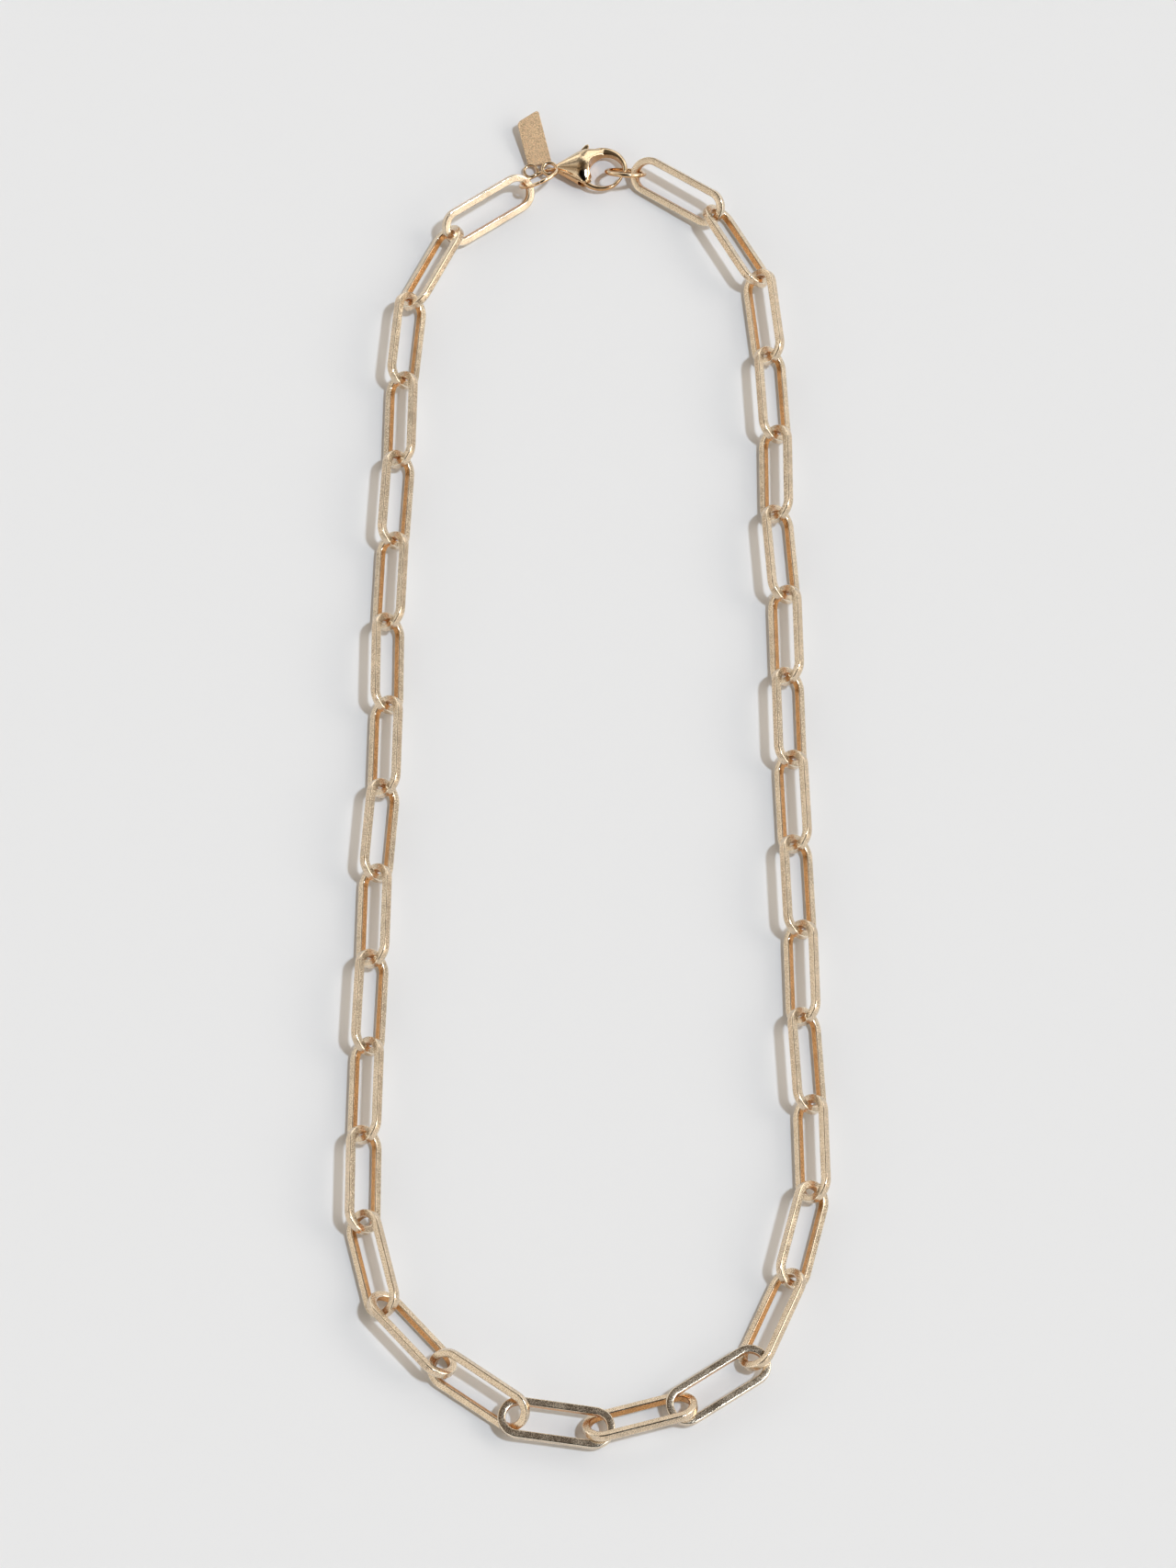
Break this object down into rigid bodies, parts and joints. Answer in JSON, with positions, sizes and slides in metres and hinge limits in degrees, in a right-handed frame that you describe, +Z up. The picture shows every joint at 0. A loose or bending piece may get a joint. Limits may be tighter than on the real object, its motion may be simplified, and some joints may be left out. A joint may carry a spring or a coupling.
{
  "type": "paperclip chain necklace",
  "caption": "Short necklace of long rounded-end paperclip links in gold metal, lying in a closed loop, with a lobster clasp, jump rings and a small bare end tag.",
  "frame": {"origin": "middle of the bounding box of the laid-out necklace, on the surface it lies on", "axes": "+Y from the bottom of the loop towards the clasp, +X to the viewer's right, +Z up from the surface"},
  "size_m": [0.065, 0.209, 0.0049],
  "materials": {
    "satin_gold": "satin champagne gold",
    "polished_gold": "polished gold",
    "tag_gold": "fine matte gold"
  },
  "bodies": {
    "chain": {"link_01": "satin_gold", "link_02": "satin_gold", "link_03": "satin_gold", "link_04": "satin_gold", "link_05": "satin_gold", "link_06": "satin_gold", "link_07": "satin_gold", "link_08": "satin_gold", "link_09": "satin_gold", "link_10": "satin_gold", "link_11": "satin_gold", "link_12": "satin_gold", "link_13": "satin_gold", "link_14": "satin_gold", "link_15": "satin_gold", "link_16": "satin_gold", "link_17": "satin_gold", "link_18": "satin_gold", "link_19": "satin_gold", "link_20": "satin_gold", "link_21": "satin_gold", "link_22": "satin_gold", "link_23": "satin_gold", "link_24": "satin_gold", "link_25": "satin_gold", "link_26": "satin_gold", "link_27": "satin_gold", "link_28": "satin_gold", "link_29": "satin_gold", "link_30": "satin_gold", "link_31": "satin_gold", "link_32": "satin_gold", "link_33": "satin_gold", "link_34": "satin_gold", "clasp_body": "polished_gold", "hook_ring": "polished_gold", "tag_ring": "tag_gold"},
    "lever": {"clasp_lever": "polished_gold"}
  },
  "joints": [
    {"name": "clasp_lever", "type": "hinge", "parent": "chain", "child": "lever", "pos_m": [-0.00055, 0.09311, 0.0013], "axis": [0, 0, 1], "range_deg": [0, 14], "stiffness_Nm_per_rad": 0.002}
  ]
}
